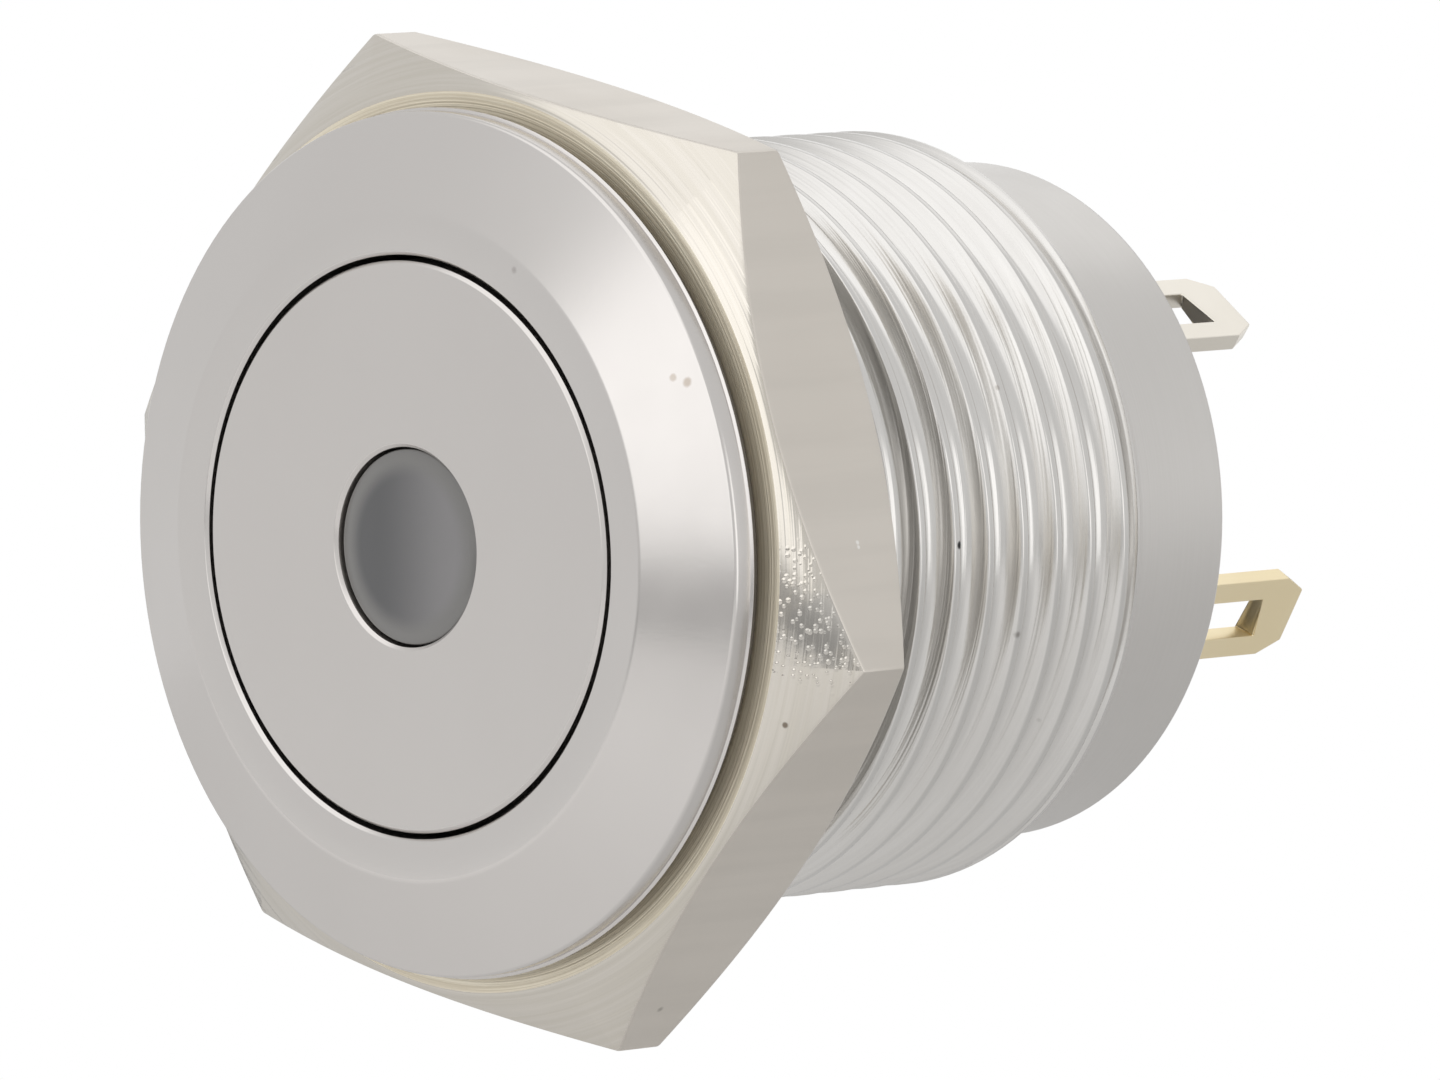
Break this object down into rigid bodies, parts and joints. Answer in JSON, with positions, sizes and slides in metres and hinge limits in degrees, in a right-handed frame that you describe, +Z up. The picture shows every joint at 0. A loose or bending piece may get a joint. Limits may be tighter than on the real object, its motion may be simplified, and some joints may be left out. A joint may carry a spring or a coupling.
{
  "type": "pushbutton switch",
  "caption": "Round metal momentary pushbutton for panel mounting, with a flush lit button, a threaded barrel, a hexagonal nut and pierced solder lugs.",
  "frame": {"origin": "centre of the head's rear face, where the head meets the panel, on the barrel's axis", "axes": "+Y along the barrel's axis from the head to the solder lugs, so the button faces -Y; +Z up and +X right, seen from the front"},
  "size_m": [0.0216, 0.022, 0.0208],
  "materials": {
    "nickel_plate": "turned brass with satin nickel plate",
    "nickel_plate_nut": "nickel plate over machined brass",
    "satin_nickel": "fine satin nickel",
    "black_rubber": "matt",
    "smoke_lens": "smoky translucent plastic",
    "black_moulding": "moulded, matt",
    "spring_bronze": "rolled strip",
    "contact_silver": "bright silver",
    "spring_steel": "drawn wire",
    "epoxy": "cast, slightly glossy",
    "gilt_brass": "thin gilt plate",
    "lamp_resin": "clear tinted resin",
    "tinned_lead": "tinned",
    "resistor_body": "lacquered"
  },
  "bodies": {
    "housing": {"housing_shell": "nickel_plate", "panel_seal": "black_rubber", "contact_base": "black_moulding", "epoxy_seal": "epoxy", "terminal_common": "gilt_brass", "terminal_normally_open": "gilt_brass", "terminal_lamp_plus": "gilt_brass", "terminal_lamp_minus": "gilt_brass", "fixed_contact_common": "contact_silver", "fixed_contact_open": "contact_silver", "led": "lamp_resin", "led_anode_lead": "tinned_lead", "led_cathode_lead": "tinned_lead", "series_resistor": "resistor_body"},
    "button": {"button_cap": "satin_nickel", "dot_lens": "smoke_lens", "plunger": "black_moulding", "bridge_retainer": "black_moulding", "button_seal": "black_rubber", "return_spring": "spring_steel"},
    "bridge": {"contact_bridge": "spring_bronze", "moving_contact_common": "contact_silver", "moving_contact_open": "contact_silver", "contact_spring": "spring_steel"},
    "nut": {"hex_nut": "nickel_plate_nut"}
  },
  "joints": [
    {"name": "button_press", "type": "slide", "parent": "housing", "child": "button", "axis": [0, 1, 0], "range_m": [0, 0.0015], "stiffness_N_per_m": 2000, "springref_m": -0.001, "deforming": ["return_spring"]},
    {"name": "bridge_travel", "type": "slide", "parent": "housing", "child": "bridge", "axis": [0, 1, 0], "range_m": [0, 0.001], "deforming": ["contact_spring"]},
    {"name": "nut_run", "type": "slide", "parent": "housing", "child": "nut", "axis": [0, 1, 0], "range_m": [0, 0.008]}
  ],
  "couplings": [
    {"joint": "bridge_travel", "follows": "button_press", "ratio": 0.65}
  ]
}
